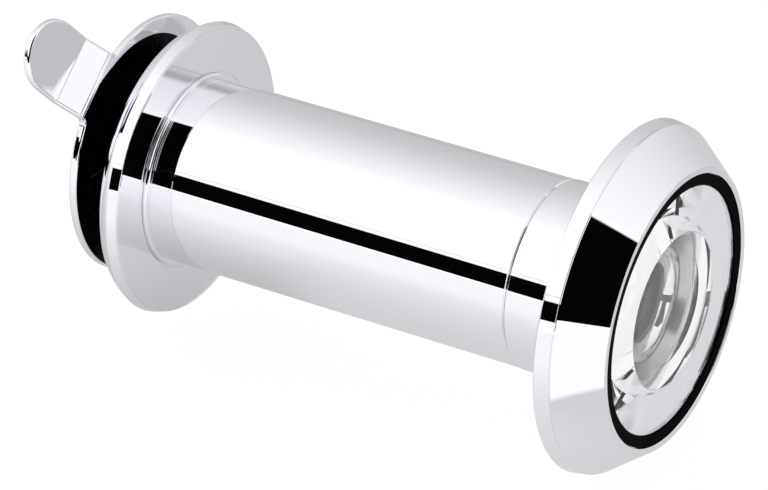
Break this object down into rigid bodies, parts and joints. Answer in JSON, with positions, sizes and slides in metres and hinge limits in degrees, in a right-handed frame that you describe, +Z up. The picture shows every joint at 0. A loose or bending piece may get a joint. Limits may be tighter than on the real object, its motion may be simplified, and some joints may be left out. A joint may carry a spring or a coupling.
{
  "type": "door viewer",
  "caption": "Round door viewer: bezel with lens, barrel for a drilled hole, rosette with a swinging privacy cover and thumb tab.",
  "frame": {"origin": "on the barrel's axis, in the plane of the bezel's back face, which seats on the door's outdoor face", "axes": "+X along the barrel towards the bezel and outdoors, -X towards the room and the cover; +Z up"},
  "size_m": [0.0472, 0.0258, 0.0276],
  "materials": {
    "chrome": "mirror-bright chrome plate",
    "nickel": "dull nickel plate",
    "spring_steel": "bright spring steel",
    "black_aluminium": "matte black anodised",
    "black_rubber": "glossy black",
    "black_plastic": "glossy black",
    "lens_glass": "clear polished"
  },
  "bodies": {
    "outside_half": {"bezel": "chrome", "objective_seal": "black_rubber", "objective_lens": "lens_glass", "seat_ring": "chrome", "objective_cup": "nickel", "second_lens": "lens_glass", "front_spacer": "black_aluminium", "third_lens": "lens_glass", "lens_tube": "black_aluminium", "lens_lock_ring": "nickel"},
    "washer": {"thrust_washer": "chrome"},
    "inside_half": {"sleeve": "chrome", "eyepiece_cup": "black_plastic", "eyepiece_lens": "lens_glass", "snap_ring": "spring_steel"},
    "rosette": {"rosette": "chrome", "pivot_rivet": "chrome", "spring_washer": "spring_steel", "flat_washer": "nickel", "rivet_washer": "nickel"},
    "cover": {"cover": "chrome"}
  },
  "joints": [
    {"name": "rosette_slide", "type": "slide", "parent": "outside_half", "child": "washer", "axis": [-1, 0, 0], "range_m": [0, 0.02]},
    {"name": "sleeve_turn", "type": "hinge", "parent": "washer", "child": "inside_half", "pos_m": [-0.03535, 0, 0], "axis": [-1, 0, 0], "range_deg": [0, 7200]},
    {"name": "rosette_turn", "type": "hinge", "parent": "washer", "child": "rosette", "pos_m": [-0.03535, 0, 0], "axis": [1, 0, 0], "continuous": true},
    {"name": "cover_swing", "type": "hinge", "parent": "rosette", "child": "cover", "pos_m": [-0.03957, 0.00688, 0.00306], "axis": [1, 0, 0], "continuous": true}
  ],
  "couplings": [
    {"joint": "rosette_slide", "follows": "sleeve_turn", "m_per_rad": 0.00015915}
  ]
}
